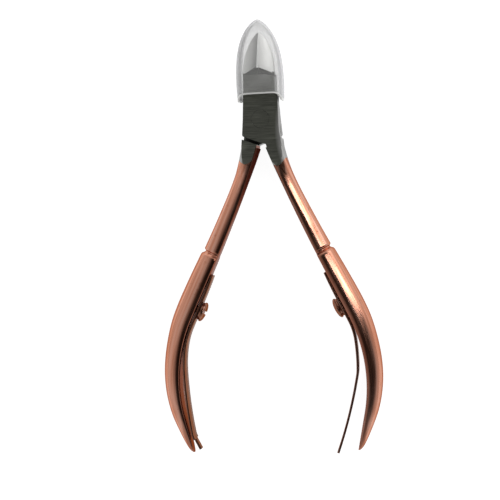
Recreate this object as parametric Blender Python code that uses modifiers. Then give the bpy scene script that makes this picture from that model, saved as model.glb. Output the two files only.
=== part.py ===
"""Cuticle nipper with a lap joint: two forged halves on one rivet, a leaf spring and its
slotted screw on the inner face of each handle, and a soft cover over the closed jaws.

Metres, +Z up. The nipper lies on its back with its jaws towards +Y. The origin is under the
middle of its bounding box. Lengths below are millimetres, turned into metres by MM, and
angles are degrees. A half is drawn with its handle at +X and its jaw at -X; side mirrors it.
"""

import math

import bmesh
import bpy
from mathutils import Matrix, Vector

MM = 0.001

# Whole tool
PIVOT_Y = 29.7               # rivet axis, ahead of the middle of the tool
THICKNESS = 7.0              # closed head, back face to front face
MIDDLE = THICKNESS / 2
LAP_GAP = 0.1                # between the two laps
SEAT_GAP = 0.25              # between a spring and what it lies on

# Head
HEAD_HALF_WIDTH = 4.5
NECK_HALF_WIDTH = 3.95
NECK_FOOT = 7.0              # the neck's sides are parallel above this
LAP_FREE_SIDE = ((-4.15, 4.0), (-4.7, -3.75))    # a lap widens a little towards its free corner
LAP_LOWER_END = ((-4.55, -4.15), (-1.6, -5.32), (1.1, -6.3))     # slants down to its own handle
HEAD_SIDE = ((4.62, -3.6), (4.5, -1.8), (4.5, 5.2), (4.38, 5.9))     # above its own handle
HEAD_SIDE_TOP = 6.5
SHOULDER_TOP = ((4.55, -4.2), (1.05, -5.8))      # the shoulder before it is cut to its line
SHOULDER_LINE = ((0.4, -6.63), (7.0, -4.01))     # top of the handle beside the other half's lap
LAP_TOP_RADIUS = 11.15       # round upper end of a lap
JAW_SEAT_RADIUS = 11.45      # hollow under the other half's jaw
BACK_SLOPE_START = 2.6       # the back of the neck rises from here towards the jaws
BACK_SLOPE_END = 5.8
NECK_BACK = 1.5              # height of the neck's back under the jaws
NECK_SLOPE_START = 6.6       # the front of the neck falls from here towards the jaws
NECK_SLOPE_END = 11.0
NECK_FRONT = 6.1             # height of the neck's front under the jaws
GRIND_END = -15.0            # the head's ground faces run out into the handles before this
GRIND_ALLOWANCE = 1.5        # the forging stands proud of the ground faces by this much
CLEAR_OVERLAP = 0.4 * LAP_GAP    # what is cut away for the other lap reaches this far past the middle

# Jaws
JAW_ROOT = 9.5               # foot of the full-depth jaw, above the rivet
JAW_HEEL = 12.8              # heel of the cutting edge, above the rivet
JAW_TIP = 21.25
JAW_INSET = 0.16             # the jaw's heel is narrower than the neck by this much a side
JAW_TIP_HALF_WIDTH = 0.12
JAW_ROUNDING = (2.1, 0.8)    # powers of the rounded outline: further down the jaw, and across it
JAW_SWEEP = 0.42             # the heel face slants down towards the outside
JAW_SKEW = 0.07              # the cutting line leans towards +X on its way to the tip
EDGE_HEIGHT = 8.0            # cutting edge at the heel, above the rest plane
EDGE_DROP = 1.3              # the edge falls by this much on its way to the tip
EDGE_HALF_GAP = 0.06
EDGE_CURVE = 1.6             # power of the edge's fall
BEVEL_SLOPE = 0.55           # fall of the front bevel across the jaw
JAW_BACK_START = 1.3         # height of the jaw's back at its heel
JAW_BACK_CURVE = 2.2         # power of the back's rise to the tip
JAW_TIP_DEPTH = 0.5          # depth of the jaw at its very tip
JAW_SIDE_DEPTH = 0.25        # least depth of a jaw's outer side
JAW_HOLLOW = (1.0, 0.28)     # greatest width of the hollow behind the edge, and share of the jaw's
JAW_ROOT_HALF_GAP = 0.1

# Rivet
RIVET_RADIUS = 1.6
RIVET_HEAD_RADIUS = 2.2
RIVET_HEAD_HEIGHT = 0.8      # countersunk part of a rivet head
RIVET_LAND = 0.15            # straight rim above the countersink
RIVET_RECESS = 0.02          # ground this far below the head's faces
RIVET_CLEARANCE = 0.08

# Handles: the inner face is a chain of arcs and straight runs (length, turn); SHANK and GRIP
# give (distance down the handle, width, depth). The section is a D that turns squarer towards
# the head: its power, the share of its width that is nearly flat, and the share of its depth
# that the inner face has.
HANDLE_START = (1.35, -8.0)
HANDLE_CORNER = (4.85, -4.88)    # outer end of the shoulder line
HANDLE_SHOULDER = (5.05, -6.9)   # where the handle's outer side starts
HANDLE_CROOK = (1.22, -6.6)      # upper end of the handle's inner side
HANDLE_HEADING = 21.0
HANDLE_RUNS = ((30.0, 4.5), (15.5, 0.0), (25.2, -37.2), (10.2, 0.0))
NOTCH = 28.1                 # distance of the transverse notch down the handle
NOTCH_TOP = 27.4             # where the shank ends and the notch starts
NOTCH_DEPTH = 0.5
SHANK_STATIONS = (-0.9, 0.6, 2, 3.5, 5, 7, 9.5, 13, 17, 21, 25, NOTCH_TOP)
GRIP_STATIONS = (28.7, 30, 33, 37, 41, 45, 48, 51, 54, 57, 60, 63, 66, 69, 72, 74.5, 77, 79, 80.5)
SHANK = ((-0.9, 4.1, 8.4), (4.0, 3.6, 7.0), (10.0, 3.5, 5.5), (19.0, 3.85, 4.8), (27.5, 4.2, 5.0))
GRIP = ((28.7, 4.5, 6.3), (36.0, 4.85, 6.75), (44.0, 5.0, 6.95), (53.0, 4.5, 6.9), (62.0, 4.1, 6.5),
        (70.0, 3.3, 5.6), (75.5, 2.25, 4.3), (79.0, 1.3, 2.9), (80.5, 0.5, 1.5))
SQUARE_END = 7.0
HANDLE_POWER, HEAD_POWER = 2.2, 7.2
HANDLE_CREST, HEAD_CREST = 0.16, 0.1
FLAT_SHARE = 0.97

# Springs and their screws
SCREW_PLACE = 42.8           # distance of the screw down the handle
SPRING_TOP = 32.8            # distance of the spring's short end down the handle
SCREW_HOLE_DEPTH = 3.2
SPRING_WIDTH = 4.4
SPRING_THICKNESS = 0.6
SPRING_HOLE_RADIUS = 1.35
LEFT_SPRING_RUNS = ((7.5, 3.5), (6.6, 0.0), (5.0, -14.5), (6.5, -12.0), (17.0, -8.5), (0.8, -17.0),
                    (3.4, 0.0))
RIGHT_SPRING_RUNS = ((7.5, 3.5), (6.4, 0.0), (5.0, -19.0), (7.5, -8.5), (1.5, -9.0), (20.2, -9.5))
TONGUE_LENGTH = 3.0          # the left leaf ends in a tongue
TONGUE_WIDTH = 1.8
SLOT_WIDTH = 2.4             # the right leaf has a slot that the tongue hooks into
SLOT_FROM_END = (3.0, 8.0)
SCREW_HEAD_GAP = 0.15        # between a screw's head and the leaf under it
SCREW_DOME = ((0.0, 0.0), (0.55, 0.08), (0.82, 0.35), (1.0, 0.85))   # (share of radius, fall)
SCREW_HEAD_RADIUS = 2.55
SCREW_HEAD_HEIGHT = 1.6
SCREW_SHANK_RADIUS = 1.0
SCREW_DEPTH = 2.8
SCREW_HOLE_RADIUS = 1.2
SCREW_SLOT_WIDTH = 0.8
SCREW_SLOT_DEPTH = 0.7
SCREW_SLOT_TURNS = {"left": 78.0, "right": 30.0}

# Cover
COVER_TIP = 24.6
COVER_HALF_WIDTH = 5.75
COVER_OFFSET = 0.12          # the loose cover sits a little to one side
COVER_DEPTH = 9.0
COVER_BASE = 0.05            # its back clears what the tool lies on
COVER_WALL = 0.5
COVER_SQUARENESS = 4.5
COVER_MOUTH = 6.0
COVER_MOUTH_DROP = 1.6       # the mouth's sides reach further down than its front and back
COVER_DROP_END = 0.3         # share of the length over which that drop fades
COVER_WIDTH_TAPER = (3.4, 0.72)      # powers of the rounded outline, seen from the front
COVER_DEPTH_TAPER = (3.0, 0.8)       # and from the side
COVER_TIP_WIDTH, COVER_TIP_DEPTH = 0.05, 0.2
COVER_PINCH = 0.97           # width of the mouth, as a share of the width further up
COVER_RISE = (1.3, 2.5)      # the tip's middle lies higher by this much, along this power
COVER_STATIONS = (0.0, 0.12, 0.25, 0.38, 0.5, 0.6, 0.7, 0.79, 0.87, 0.93, 0.97, 0.992)
COVER_SIDES = 28


def clear_scene():
    for existing in list(bpy.data.objects):
        bpy.data.objects.remove(existing, do_unlink=True)


def new_collection(name):
    collection = bpy.data.collections.new(name)
    bpy.context.scene.collection.children.link(collection)
    return collection


def new_material(name, colour, roughness, metallic, transmission=0.0):
    material = bpy.data.materials.new(name)
    material.use_nodes = True
    shader = material.node_tree.nodes["Principled BSDF"]
    shader.inputs["Base Color"].default_value = (*colour, 1.0)
    shader.inputs["Roughness"].default_value = roughness
    shader.inputs["Metallic"].default_value = metallic
    shader.inputs["Transmission Weight"].default_value = transmission
    return material


def place(across, along, height):
    """A point measured from the rivet axis and the rest plane, in the part's frame."""
    return Vector((across, PIVOT_Y + along, height)) * MM


def add_mesh(name, mesh, collection, material=None):
    piece = bpy.data.objects.new(name, mesh)
    collection.objects.link(piece)
    if material:
        mesh.materials.append(material)
    else:
        piece.hide_render = True
        piece.display_type = "WIRE"
    return piece


def finish_mesh(name, work):
    bmesh.ops.recalc_face_normals(work, faces=work.faces)
    mesh = bpy.data.meshes.new(name)
    work.to_mesh(mesh)
    work.free()
    return mesh


def slab(name, outline, low, high):
    """A flat outline of (across, along) points, extruded from one height to another."""
    curve = bpy.data.curves.new(name, "CURVE")
    curve.dimensions = "2D"
    curve.fill_mode = "BOTH"
    curve.extrude = (high - low) / 2 * MM
    spline = curve.splines.new("POLY")
    spline.points.add(len(outline) - 1)
    spline.use_cyclic_u = True
    for point, (across, along) in zip(spline.points, outline):
        point.co = (across * MM, (PIVOT_Y + along) * MM, 0.0, 1.0)
    guide = bpy.data.objects.new(name, curve)
    bpy.context.scene.collection.objects.link(guide)
    guide.location.z = (low + high) / 2 * MM
    bpy.context.view_layer.update()
    evaluated = guide.evaluated_get(bpy.context.evaluated_depsgraph_get())
    mesh = bpy.data.meshes.new_from_object(evaluated)
    mesh.transform(guide.matrix_world)
    bpy.data.objects.remove(guide, do_unlink=True)
    work = bmesh.new()
    work.from_mesh(mesh)
    bmesh.ops.remove_doubles(work, verts=work.verts, dist=0.000001)
    return finish_mesh(name, work)


def loft(name, rings):
    """A closed skin over rings of equal count; the end rings are capped flat."""
    work = bmesh.new()
    rows = [[work.verts.new(point) for point in ring] for ring in rings]
    count = len(rows[0])
    for near, far in zip(rows, rows[1:]):
        for i in range(count):
            j = (i + 1) % count
            work.faces.new((near[i], near[j], far[j], far[i]))
    work.faces.new(list(reversed(rows[0])))
    work.faces.new(rows[-1])
    return finish_mesh(name, work)


def turned(name, profile, material=None, collection=None, steps=40):
    """A turned piece about its own Z axis, from (radius, height) points, top to bottom."""
    mesh = bpy.data.meshes.new(name)
    points = [(radius * MM, 0.0, height * MM) for radius, height in profile]
    edges = [(i, i + 1) for i in range(len(points) - 1)]
    mesh.from_pydata(points, edges, [])
    piece = add_mesh(name, mesh, collection, material)
    screw = piece.modifiers.new("turn", "SCREW")
    screw.steps = steps
    screw.render_steps = steps
    screw.use_merge_vertices = True
    screw.merge_threshold = 0.00001
    return piece


def combine(piece, tool, operation):
    modifier = piece.modifiers.new(operation.lower(), "BOOLEAN")
    modifier.operation = operation
    modifier.solver = "EXACT"
    modifier.object = tool


def arc(radius, start, end, steps):
    """Points round the rivet axis; angles run anticlockwise from +X."""
    angles = [math.radians(start + (end - start) * i / steps) for i in range(steps + 1)]
    return [(radius * math.cos(a), radius * math.sin(a)) for a in angles]


def angle_at_width(radius, half_width):
    return math.degrees(math.acos(half_width / radius))


def walk(start, heading, runs, distance):
    """Point and heading after a distance along a chain of arcs; heading 0 is straight down."""
    across, along = start
    angle = math.radians(heading)
    left = distance
    for index, (length, turn) in enumerate(runs):
        last = index == len(runs) - 1
        step = left if last else max(min(left, length), min(left, 0.0))
        bend = math.radians(turn) / length
        if abs(bend) < 1e-9 or left < 0:
            across += step * math.sin(angle)
            along -= step * math.cos(angle)
        else:
            new_angle = angle + bend * step
            across += (math.cos(angle) - math.cos(new_angle)) / bend
            along -= (math.sin(new_angle) - math.sin(angle)) / bend
            angle = new_angle
        left -= step
        if abs(left) < 1e-9:
            break
    return (across, along), math.degrees(angle)


def handle_frame(distance):
    """Point on the inner face, the way out of the handle there and the heading down it."""
    point, heading = walk(HANDLE_START, HANDLE_HEADING, HANDLE_RUNS, distance)
    angle = math.radians(heading)
    return point, (math.cos(angle), math.sin(angle)), heading


def smooth_rows(rows, where):
    """Reads a table of (place, value, ...) rows with a smooth curve through its values."""
    places = [row[0] for row in rows]
    i = max(k for k in range(len(rows) - 1) if places[k] <= where + 1e-9)
    span = places[i + 1] - places[i]
    t = (where - places[i]) / span
    values = []
    for column in range(1, len(rows[0])):
        slopes = []
        for k in (i, i + 1):
            low, high = max(k - 1, 0), min(k + 1, len(rows) - 1)
            slopes.append((rows[high][column] - rows[low][column]) / (places[high] - places[low]))
        a, b = rows[i][column], rows[i + 1][column]
        values.append((2 * t ** 3 - 3 * t ** 2 + 1) * a + (t ** 3 - 2 * t ** 2 + t) * span * slopes[0]
                      + (3 * t ** 2 - 2 * t ** 3) * b + (t ** 3 - t ** 2) * span * slopes[1])
    return values


def handle_ring(side, distance, width, depth):
    """One D-shaped section: a flat inner face, a front and back that are nearly flat beside it,
    and a round outer side."""
    point, outward = handle_frame(distance)[:2]
    near_head = max(0.0, min(1.0, 1 - distance / SQUARE_END))
    power = HANDLE_POWER + (HEAD_POWER - HANDLE_POWER) * near_head
    crest = width * (HANDLE_CREST + (HEAD_CREST - HANDLE_CREST) * near_head)
    flat = depth / 2 * FLAT_SHARE
    section = [(0.0, -flat)]
    for i in range(11):
        turn = math.radians(-90 + 18 * i)
        reach = crest + (width - crest) * abs(math.cos(turn)) ** (2 / power)
        lift = depth / 2 * math.copysign(abs(math.sin(turn)) ** (2 / power), turn)
        section.append((reach, lift))
    section.append((0.0, flat))
    ring = []
    for reach, lift in section:
        across = point[0] + outward[0] * reach
        along = point[1] + outward[1] * reach
        ring.append(place(side * across, along, MIDDLE + lift))
    return ring


def handle_mesh(side):
    rings = []
    for distance in SHANK_STATIONS:
        rings.append(handle_ring(side, distance, *smooth_rows(SHANK, distance)))
    width, depth = smooth_rows(SHANK, NOTCH_TOP)
    rings.append(handle_ring(side, NOTCH, width - NOTCH_DEPTH, depth - NOTCH_DEPTH))
    for distance in GRIP_STATIONS:
        rings.append(handle_ring(side, distance, *smooth_rows(GRIP, distance)))
    return loft("handle_form", rings)


def lap_outline():
    """A lap: its free side flares towards a slanted lower end, its other side runs down into
    the handle, and its upper end is round under the other half's jaw."""
    outline = [(-NECK_HALF_WIDTH, JAW_HEEL), (-NECK_HALF_WIDTH, NECK_FOOT), *LAP_FREE_SIDE, *LAP_LOWER_END]
    outline += [HANDLE_CROOK, HANDLE_START, HANDLE_SHOULDER, HANDLE_CORNER]
    outline += [*HEAD_SIDE, (NECK_HALF_WIDTH, HEAD_SIDE_TOP)]
    outline += arc(LAP_TOP_RADIUS, angle_at_width(LAP_TOP_RADIUS, NECK_HALF_WIDTH), 90.5, 6)
    outline.append((-JAW_ROOT_HALF_GAP, JAW_HEEL))
    return outline


def shoulder_outline():
    """The full-depth top of a handle, before it is hollowed to clear the other half's lap."""
    return [HANDLE_CORNER, *SHOULDER_TOP, HANDLE_CROOK, HANDLE_START, HANDLE_SHOULDER]


def shoulder_clear_outline():
    """What is cut out of the shoulder so that the other half's lap can turn beside it."""
    (near, near_along), (far, far_along) = SHOULDER_LINE
    return [(-far, near_along), (near, near_along), (far, far_along), (far, 0.0), (-far, 0.0)]


def jaw_root_outline():
    """The full-depth foot of a jaw, before it is hollowed to clear the other half's lap."""
    half = NECK_HALF_WIDTH
    return [(-JAW_ROOT_HALF_GAP, JAW_ROOT), (-half, JAW_ROOT), (-half, JAW_HEEL),
            (-JAW_ROOT_HALF_GAP, JAW_HEEL)]


def mirrored(outline, side):
    return [(side * across, along) for across, along in outline]


def jaw_mesh(side):
    """A jaw from its slanted heel face to its point: a front bevel that falls away from the
    cutting edge, a rounded outer side, and a hollow behind the edge."""
    rings = []
    steps = 9
    for i in range(steps + 1):
        t = i / steps
        narrowing = (1 - t ** JAW_ROUNDING[0]) ** JAW_ROUNDING[1]
        width = (NECK_HALF_WIDTH - JAW_INSET) * narrowing + JAW_TIP_HALF_WIDTH
        skew = JAW_SKEW * (JAW_TIP - JAW_HEEL) * (t - 0.3)
        edge = EDGE_HEIGHT - EDGE_DROP * t ** EDGE_CURVE
        back = JAW_BACK_START + (edge - JAW_TIP_DEPTH - 0.2 - NECK_BACK) * t ** JAW_BACK_CURVE
        centre_along = JAW_HEEL + (JAW_TIP - JAW_HEEL) * t
        sweep = JAW_SWEEP * (1 - t)
        shoulder = edge - (BEVEL_SLOPE * width if i < steps else 0.02)
        shoulder = max(shoulder, back + JAW_SIDE_DEPTH)
        hollow = min(JAW_HOLLOW[0], JAW_HOLLOW[1] * width)
        section = [(EDGE_HALF_GAP, edge), (width * 0.94, shoulder + 0.1)]
        section += [(width, shoulder - 0.2 * (1 - t)), (width, back + 0.35 * (shoulder - back))]
        section += [(width * 0.78, back), (EDGE_HALF_GAP + hollow, back)]
        section.append((EDGE_HALF_GAP + 0.45 * hollow, edge - 0.45 * (edge - back)))
        ring = []
        for across, height in section:
            ring.append(place(-side * across + skew, centre_along - sweep * across, height))
        rings.append(ring)
    return loft("jaw_form", rings)


def back_grind():
    """Side profile of what is ground off the head's back, as a block across the head."""
    bottom = -2 * GRIND_ALLOWANCE
    profile = [(GRIND_END, bottom), (GRIND_END, 0.0), (BACK_SLOPE_START, 0.0)]
    profile += [(BACK_SLOPE_END, NECK_BACK), (JAW_TIP, NECK_BACK), (JAW_TIP, bottom)]
    return side_block("back_grind_cutter", profile)


def front_grind():
    """Side profile of what is ground off the head's front, as a block across the head."""
    top = THICKNESS + 2.5 * GRIND_ALLOWANCE
    return side_block("front_grind_cutter", [(GRIND_END, top), (GRIND_END, THICKNESS),
                                             (NECK_SLOPE_START, THICKNESS), (NECK_SLOPE_END, NECK_FRONT),
                                             (JAW_TIP, NECK_FRONT), (JAW_TIP, top)])


def side_block(name, profile):
    reach = 3 * HEAD_HALF_WIDTH
    rings = [[place(across, along, height) for along, height in profile] for across in (-reach, reach)]
    return loft(name, rings)


def rivet_profile(grow):
    """Half-section of the rivet, top to bottom: two flush countersunk heads on a shank."""
    end = RIVET_RECESS - grow * 2
    radius = RIVET_RADIUS + grow
    head = RIVET_HEAD_RADIUS + grow
    upper = [(0.0, THICKNESS - end), (head, THICKNESS - end), (head, THICKNESS - RIVET_LAND),
             (radius, THICKNESS - RIVET_HEAD_HEIGHT)]
    return upper + [(radius, RIVET_HEAD_HEIGHT), (head, RIVET_LAND), (head, end), (0.0, end)]


def on_inner_face(piece, side, height):
    """Stands a turned piece on a handle's inner face at the screw, its axis along the face's
    inward normal."""
    point, outward = handle_frame(SCREW_PLACE)[:2]
    axis = Vector((-side * outward[0], -outward[1], 0.0))
    turn = axis.to_track_quat("Z", "Y").to_matrix().to_4x4()
    piece.matrix_world = Matrix.Translation(place(side * point[0], point[1], height)) @ turn


def make_half(name, side, part, cutters, material):
    """One forging: lap, handle and jaw. side is +1 with the handle at +X and the jaw at -X.
    The half with its handle at +X has the front lap."""
    beyond = GRIND_ALLOWANCE
    if side > 0:
        lap_low, lap_high = MIDDLE + LAP_GAP / 2, THICKNESS + beyond
        other_low, other_high = -2 * beyond, MIDDLE + CLEAR_OVERLAP
    else:
        lap_low, lap_high = -beyond, MIDDLE - LAP_GAP / 2
        other_low, other_high = MIDDLE - CLEAR_OVERLAP, THICKNESS + 2 * beyond
    half = add_mesh(name, slab(name, mirrored(lap_outline(), side), lap_low, lap_high), part, material)

    shoulder = slab("shoulder_form", mirrored(shoulder_outline(), side), -beyond, THICKNESS + beyond)
    root = slab("jaw_root_form", mirrored(jaw_root_outline(), side), -beyond, THICKNESS + beyond)
    handle_clear = slab("clear_form", mirrored(shoulder_clear_outline(), side), other_low, other_high)
    jaw_clear = slab("clear_form", arc(JAW_SEAT_RADIUS, 0, 180, 40), other_low, other_high)
    steps = [("UNION", shoulder), ("UNION", handle_mesh(side)), ("UNION", root)]
    steps += [("DIFFERENCE", handle_clear), ("DIFFERENCE", jaw_clear), ("DIFFERENCE", front_grind())]
    steps += [("UNION", jaw_mesh(side)), ("DIFFERENCE", back_grind())]
    for operation, mesh in steps:
        combine(half, add_mesh(f"{name}_cutter", mesh, cutters), operation)

    bore = turned(f"{name}_bore", rivet_profile(RIVET_CLEARANCE), None, cutters)
    bore.location = place(0.0, 0.0, 0.0)
    combine(half, bore, "DIFFERENCE")

    profile = [(0.0, 2.0), (SCREW_HOLE_RADIUS, 2.0), (SCREW_HOLE_RADIUS, -SCREW_HOLE_DEPTH),
               (0.0, -SCREW_HOLE_DEPTH)]
    hole = turned(f"{name}_screw_hole", profile, None, cutters, 24)
    on_inner_face(hole, side, MIDDLE)
    combine(half, hole, "DIFFERENCE")
    return half


def spring_line(runs):
    """Centre line of a leaf: points and headings from its short end to its long end."""
    point, outward, heading = handle_frame(SCREW_PLACE)
    lift = SEAT_GAP + SPRING_THICKNESS / 2
    root = (point[0] - outward[0] * lift, point[1] - outward[1] * lift)
    first_length, first_turn = runs[0]
    flat_above = SCREW_PLACE - SPRING_TOP - first_length
    first_bend = math.radians(first_turn) / first_length
    bend_end = (root[0] - flat_above * outward[1], root[1] + flat_above * outward[0])
    start_heading = heading - first_turn
    angle, start_angle = math.radians(heading), math.radians(start_heading)
    start = (bend_end[0] - (math.cos(start_angle) - math.cos(angle)) / first_bend,
             bend_end[1] + (math.sin(angle) - math.sin(start_angle)) / first_bend)
    line = []
    travelled = 0.0
    for length, turn in runs:
        pieces = max(1, round(max(length / 3.5, abs(turn) / 5)))
        for k in range(pieces):
            line.append(walk(start, start_heading, runs, travelled + length * k / pieces))
        travelled += length
    line.append(walk(start, start_heading, runs, travelled - 1e-6))
    return line


def end_cutter(name, line, side, back, reach, low, high):
    """A box over part of the leaf's long end: back to reach are distances from that end."""
    (across, along), heading = line[-1]
    angle = math.radians(heading)
    down = Vector((math.sin(angle), -math.cos(angle)))
    out = Vector((math.cos(angle), math.sin(angle)))
    end = Vector((across, along))
    corners = [end + down * d + out * o for d, o in ((-back, -3), (-back, 3), (-reach, 3), (-reach, -3))]
    return slab(name, [(side * corner.x, corner.y) for corner in corners], low, high)


def make_spring(name, side, runs, part, cutters, material):
    line = spring_line(runs)
    inner, outer = [], []
    for (across, along), heading in line:
        angle = math.radians(heading)
        offset = (math.cos(angle) * SPRING_THICKNESS / 2, math.sin(angle) * SPRING_THICKNESS / 2)
        inner.append((side * (across - offset[0]), along - offset[1]))
        outer.append((side * (across + offset[0]), along + offset[1]))
    low, high = MIDDLE - SPRING_WIDTH / 2, MIDDLE + SPRING_WIDTH / 2
    spring = add_mesh(name, slab(name, inner + outer[::-1], low, high), part, material)
    profile = [(0.0, 4.0), (SPRING_HOLE_RADIUS, 4.0), (SPRING_HOLE_RADIUS, -4.0), (0.0, -4.0)]
    hole = turned(f"{name}_hole", profile, None, cutters, 24)
    on_inner_face(hole, side, MIDDLE)
    combine(spring, hole, "DIFFERENCE")
    if name.startswith("left"):
        margins = ((low - 1, MIDDLE - TONGUE_WIDTH / 2), (MIDDLE + TONGUE_WIDTH / 2, high + 1))
        for bottom, top in margins:
            mesh = end_cutter("tongue_cutter", line, side, TONGUE_LENGTH, -1.0, bottom, top)
            combine(spring, add_mesh(f"{name}_cutter", mesh, cutters), "DIFFERENCE")
    else:
        mesh = end_cutter("slot_cutter", line, side, SLOT_FROM_END[1], SLOT_FROM_END[0],
                          MIDDLE - SLOT_WIDTH / 2, MIDDLE + SLOT_WIDTH / 2)
        combine(spring, add_mesh(f"{name}_cutter", mesh, cutters), "DIFFERENCE")
    return spring


def make_spring_screw(name, side, slot_turn, part, cutters, material):
    """A button-headed screw with a straight slot; its shank goes through the leaf into the
    handle."""
    base = SEAT_GAP + SPRING_THICKNESS + SCREW_HEAD_GAP
    top = base + SCREW_HEAD_HEIGHT
    radius = SCREW_HEAD_RADIUS
    profile = [(share * radius, top - fall) for share, fall in SCREW_DOME]
    profile += [(radius, base), (SCREW_SHANK_RADIUS, base), (SCREW_SHANK_RADIUS, -SCREW_DEPTH),
                (0.0, -SCREW_DEPTH)]
    screw = turned(name, profile, material, part, 32)
    on_inner_face(screw, side, MIDDLE)
    reach, half = radius + 1, SCREW_SLOT_WIDTH / 2
    corners = ((-reach, -half), (reach, -half), (reach, half), (-reach, half))
    rings = [[Vector((x, y, z)) * MM for x, y in corners] for z in (top - SCREW_SLOT_DEPTH, top + 1)]
    cutter = add_mesh(f"{name}_cutter", loft("screw_slot", rings), cutters)
    cutter.matrix_world = screw.matrix_world @ Matrix.Rotation(math.radians(slot_turn), 4, "Z")
    combine(screw, cutter, "DIFFERENCE")
    return screw


def cover_ring(half_width, depth, centre, along, drop):
    """One rounded section of the cover; drop lowers its sides, for the curved mouth."""
    ring = []
    for i in range(COVER_SIDES):
        turn = 2 * math.pi * i / COVER_SIDES
        across = half_width * math.copysign(abs(math.cos(turn)) ** (2 / COVER_SQUARENESS), math.cos(turn))
        lift = math.copysign(abs(math.sin(turn)) ** (2 / COVER_SQUARENESS), math.sin(turn))
        height = centre + depth / 2 * lift
        ring.append(place(across + COVER_OFFSET, along - drop * math.cos(turn) ** 4, height))
    return ring


def make_cover(part, material):
    """A shell, closed over the tip and open at the mouth, made as a skin with Solidify."""
    work = bmesh.new()
    rows = []
    length = COVER_TIP - COVER_MOUTH
    for t in COVER_STATIONS:
        pinch = COVER_PINCH + (1 - COVER_PINCH) * min(1.0, t * 6)
        taper = (1 - t ** COVER_WIDTH_TAPER[0]) ** COVER_WIDTH_TAPER[1]
        half_width = COVER_HALF_WIDTH * pinch * taper + COVER_TIP_WIDTH
        thinning = (1 - t ** COVER_DEPTH_TAPER[0]) ** COVER_DEPTH_TAPER[1]
        depth = (COVER_DEPTH - COVER_TIP_DEPTH) * thinning + COVER_TIP_DEPTH
        centre = COVER_BASE + COVER_DEPTH / 2 + COVER_RISE[0] * t ** COVER_RISE[1]
        centre = min(centre, COVER_BASE + COVER_DEPTH - depth / 2)
        drop = COVER_MOUTH_DROP * max(0.0, 1 - t / COVER_DROP_END)
        ring = cover_ring(half_width, depth, centre, COVER_MOUTH + length * t, drop)
        rows.append([work.verts.new(point) for point in ring])
    for near, far in zip(rows, rows[1:]):
        for i in range(len(near)):
            j = (i + 1) % len(near)
            work.faces.new((near[i], near[j], far[j], far[i]))
    work.faces.new(rows[-1])
    cover = add_mesh("tip_cover", finish_mesh("tip_cover", work), part, material)
    wall = cover.modifiers.new("wall", "SOLIDIFY")
    wall.thickness = COVER_WALL * MM
    wall.offset = -1.0
    return cover


def main():
    clear_scene()
    part = new_collection("cuticle_nipper")
    cutters = new_collection("cutters")
    rose_gold = new_material("rose_gold_plate", (0.72, 0.36, 0.25), 0.2, 1.0)
    rivet_steel = new_material("ground_steel", (0.12, 0.12, 0.11), 0.4, 1.0)
    vinyl = new_material("clear_vinyl", (0.8, 0.8, 0.79), 0.3, 0.0, 0.8)
    make_half("front_half", 1, part, cutters, rose_gold)
    make_half("rear_half", -1, part, cutters, rose_gold)
    rivet = turned("pivot_rivet", rivet_profile(0.0), rivet_steel, part)
    rivet.location = place(0.0, 0.0, 0.0)
    for name, side, runs in (("left", -1, LEFT_SPRING_RUNS), ("right", 1, RIGHT_SPRING_RUNS)):
        make_spring(f"{name}_leaf_spring", side, runs, part, cutters, rose_gold)
        slot_turn = SCREW_SLOT_TURNS[name]
        make_spring_screw(f"{name}_spring_screw", side, slot_turn, part, cutters, rose_gold)
    make_cover(part, vinyl)


main()
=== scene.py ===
"""Looks of a cuticle nipper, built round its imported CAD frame.

Metres, +Z up, the jaws towards +Y. Lengths below are millimetres, turned into metres by MM, and
angles are degrees. A half is drawn with its handle at +X and its jaw at -X; side mirrors it.
"""

import math

import bmesh
import bpy
from mathutils import Matrix, Vector


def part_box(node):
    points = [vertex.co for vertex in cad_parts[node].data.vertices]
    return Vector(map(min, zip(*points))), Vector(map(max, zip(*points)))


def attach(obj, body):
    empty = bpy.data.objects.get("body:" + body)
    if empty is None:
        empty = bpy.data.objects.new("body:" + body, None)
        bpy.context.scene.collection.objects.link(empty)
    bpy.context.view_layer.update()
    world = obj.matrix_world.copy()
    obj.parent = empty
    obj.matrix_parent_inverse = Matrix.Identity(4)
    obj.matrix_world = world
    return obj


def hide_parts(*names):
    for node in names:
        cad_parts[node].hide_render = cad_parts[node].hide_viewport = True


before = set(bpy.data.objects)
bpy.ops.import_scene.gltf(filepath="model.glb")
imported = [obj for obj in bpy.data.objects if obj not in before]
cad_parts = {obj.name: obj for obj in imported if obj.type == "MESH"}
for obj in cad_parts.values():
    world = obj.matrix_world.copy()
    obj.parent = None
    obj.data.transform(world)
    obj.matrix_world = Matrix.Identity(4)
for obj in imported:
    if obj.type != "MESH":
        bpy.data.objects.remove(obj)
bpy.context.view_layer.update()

MM = 0.001

# Whole tool
RIVET_LOW, RIVET_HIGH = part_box("pivot_rivet")
PIVOT_Y = (RIVET_LOW.y + RIVET_HIGH.y) / 2 / MM
THICKNESS = 7.0
MIDDLE = THICKNESS / 2
LAP_GAP = 0.1
SEAT_GAP = 0.25

# Head
HEAD_HALF_WIDTH = 4.5
NECK_HALF_WIDTH = 3.95
SIDE_TURN = (5.3, 1.2)       # where the head's side turns in to the neck, and over what length

# Outline of a half's lap, as (across, along): down its jaw's side, along its foot to the
# handle's crook, and up its handle's side
LAP_JAW_SIDE = ((-NECK_HALF_WIDTH, 7.0), (-4.15, 4.0), (-4.38, 0.0), (-4.7, -3.75))
LAP_FOOT = ((-4.55, -4.15), (-1.6, -5.32), (1.1, -6.3))
LAP_HANDLE_SIDE = ((4.62, -3.6), (HEAD_HALF_WIDTH, -1.8), (HEAD_HALF_WIDTH, 5.2))
LAP_TOP_RADIUS = 11.15
LAP_TOP_END = 90.5

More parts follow.
